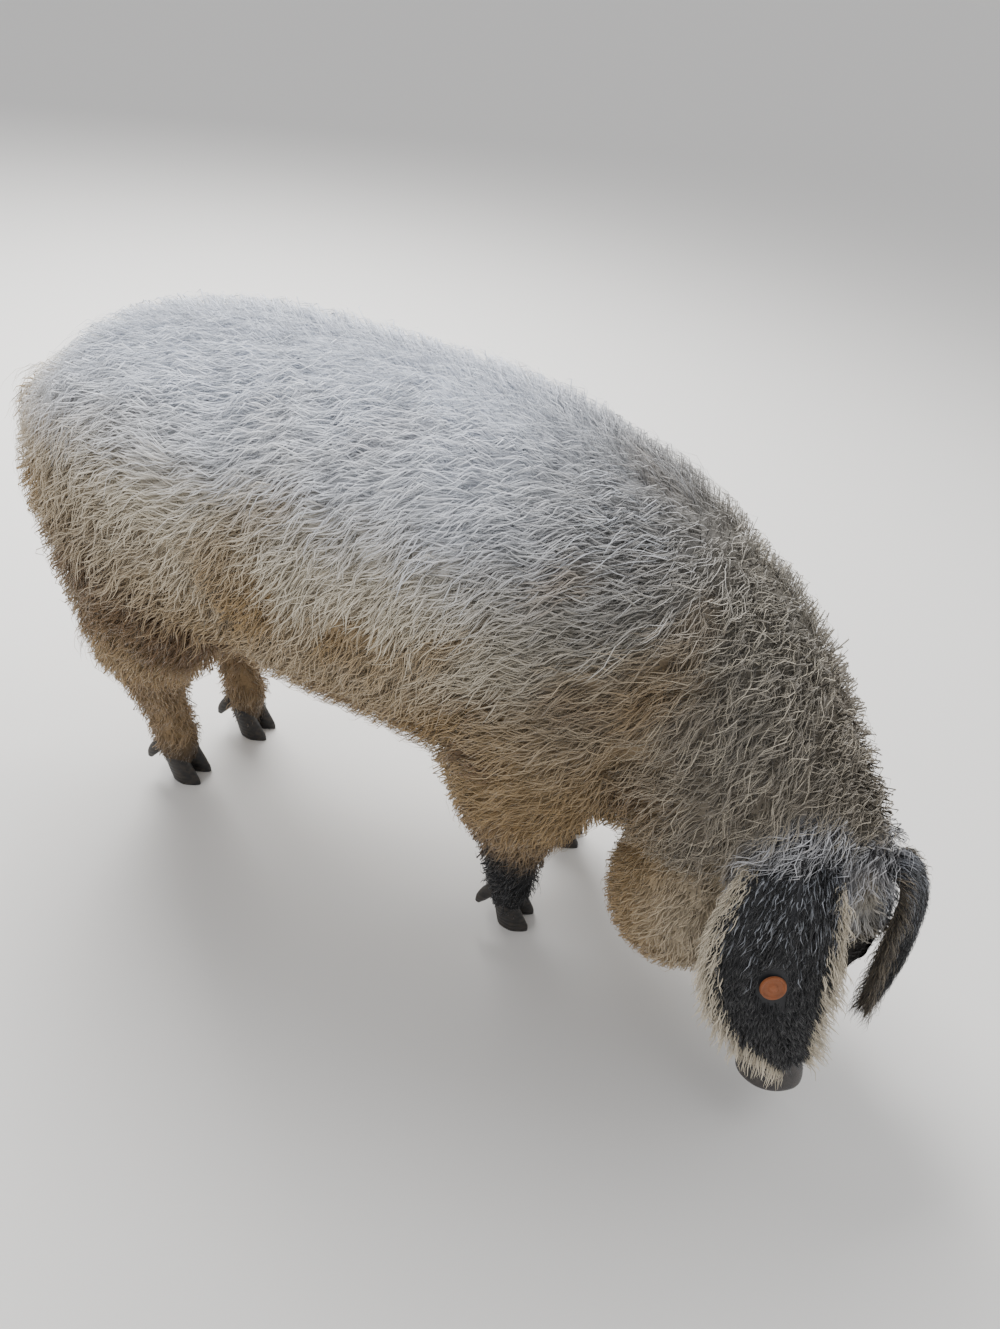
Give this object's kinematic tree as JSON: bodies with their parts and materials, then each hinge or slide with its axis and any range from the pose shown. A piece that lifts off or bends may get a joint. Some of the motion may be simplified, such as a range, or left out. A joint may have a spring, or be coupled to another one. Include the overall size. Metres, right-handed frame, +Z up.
{
  "type": "mangalica pig",
  "caption": "Life-size mangalica pig with a long curly cream coat, standing with its head lowered and turned to its right, with a round ear tag.",
  "frame": {"origin": "on the floor, under the middle of the outline seen from above", "axes": "+X along the body from tail to neck, +Y to the pig's left, +Z up"},
  "size_m": [1.4886, 0.5904, 0.8696],
  "materials": {
    "coat_cream": "curly wool",
    "coat_tan": "short curly wool",
    "ear_dark": "haired skin",
    "snout_dark": "moist skin",
    "horn": "worn horn",
    "tag_orange": "moulded",
    "eye": "wet"
  },
  "bodies": {
    "root": {"torso": "coat_cream", "neck": "coat_cream", "head": "coat_cream", "tail": "coat_tan", "hind_leg_right": "coat_tan", "hind_leg_left": "coat_tan", "fore_leg_right": "coat_tan", "fore_leg_left": "coat_tan", "ear_right": "ear_dark", "ear_left": "ear_dark", "snout": "snout_dark", "eye_right": "eye", "eye_left": "eye", "ear_tag_button": "tag_orange", "ear_tag_back": "tag_orange", "claw_hind_right_outer": "horn", "claw_hind_right_inner": "horn", "claw_hind_left_outer": "horn", "claw_hind_left_inner": "horn", "claw_fore_right_outer": "horn", "claw_fore_right_inner": "horn", "claw_fore_left_outer": "horn", "claw_fore_left_inner": "horn", "dewclaw_hind_right_outer": "horn", "dewclaw_hind_right_inner": "horn", "dewclaw_hind_left_outer": "horn", "dewclaw_hind_left_inner": "horn", "dewclaw_fore_right_outer": "horn", "dewclaw_fore_right_inner": "horn", "dewclaw_fore_left_outer": "horn", "dewclaw_fore_left_inner": "horn"}
  },
  "joints": []
}
